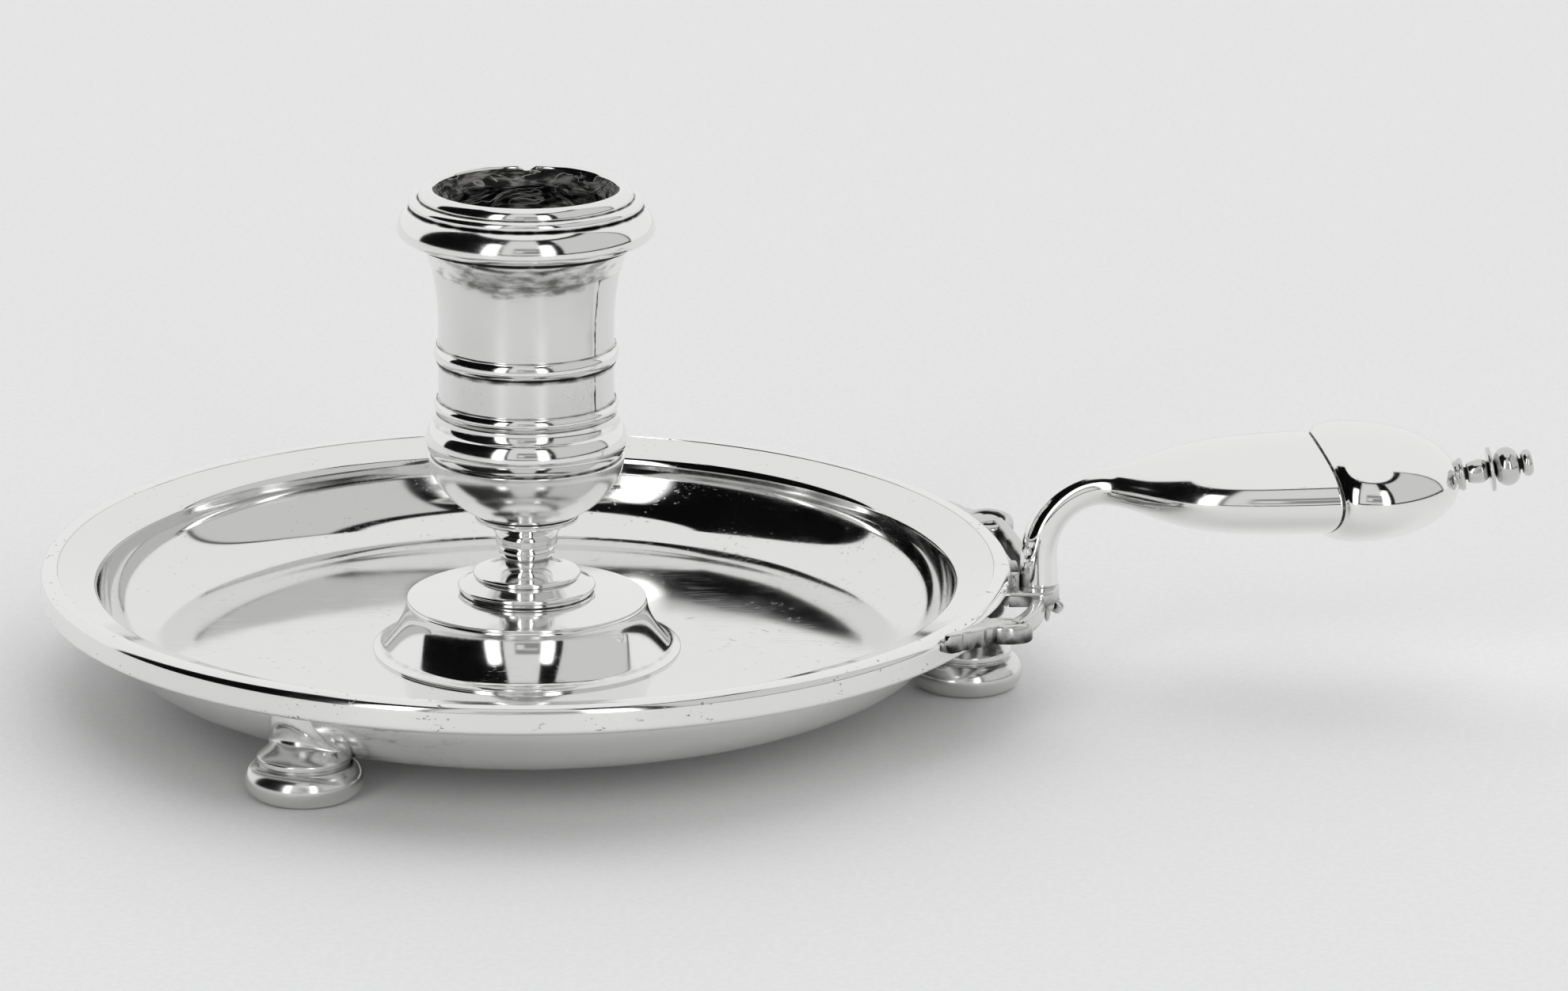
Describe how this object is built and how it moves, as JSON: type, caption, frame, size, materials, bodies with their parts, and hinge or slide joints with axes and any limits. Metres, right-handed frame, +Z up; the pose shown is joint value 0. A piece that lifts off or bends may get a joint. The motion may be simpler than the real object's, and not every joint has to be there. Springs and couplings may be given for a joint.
{
  "type": "chamberstick",
  "caption": "Silver chamberstick: round footed pan, turned candle socket on a domed base, and a hollow oval handle on a scroll bracket, ending in a turned finial.",
  "frame": {"origin": "The candle's seat: the middle of the socket floor's upper face, on the candle's axis.", "axes": "+Z is up along the candle's axis and +X runs from that axis out along the handle. The part mirrors onto itself across the XZ plane: one foot stands under the handle and two at -X."},
  "size_m": [0.1978, 0.1286, 0.0683],
  "materials": {
    "pan_silver": "hand-polished raised sheet",
    "band_silver": "polished wire with nicks and scratches",
    "socket_silver": "turned and polished, dark in the grooves",
    "tube_silver": "polished seamed tube",
    "bore_silver": "tarnished, with wax and soot residue",
    "cast_silver": "cast, chased and polished",
    "handle_silver": "polished hollow ware",
    "solder": "darkened silver solder line"
  },
  "bodies": {
    "root": {"pan": "pan_silver", "rim_band": "band_silver", "foot_under_handle": "cast_silver", "foot_back": "cast_silver", "foot_front": "cast_silver", "socket_base": "socket_silver", "stem": "socket_silver", "socket_cup": "socket_silver", "candle_tube": "tube_silver", "socket_floor": "bore_silver", "lower_bead": "socket_silver", "middle_bead": "socket_silver", "mouth_moulding": "socket_silver", "mouth_lip": "socket_silver", "handle_body": "handle_silver", "joint_ring": "solder", "handle_cap": "handle_silver", "finial": "cast_silver", "bracket_shield": "cast_silver", "bracket_leaf": "cast_silver", "scroll_back": "cast_silver", "scroll_front": "cast_silver"}
  },
  "joints": []
}
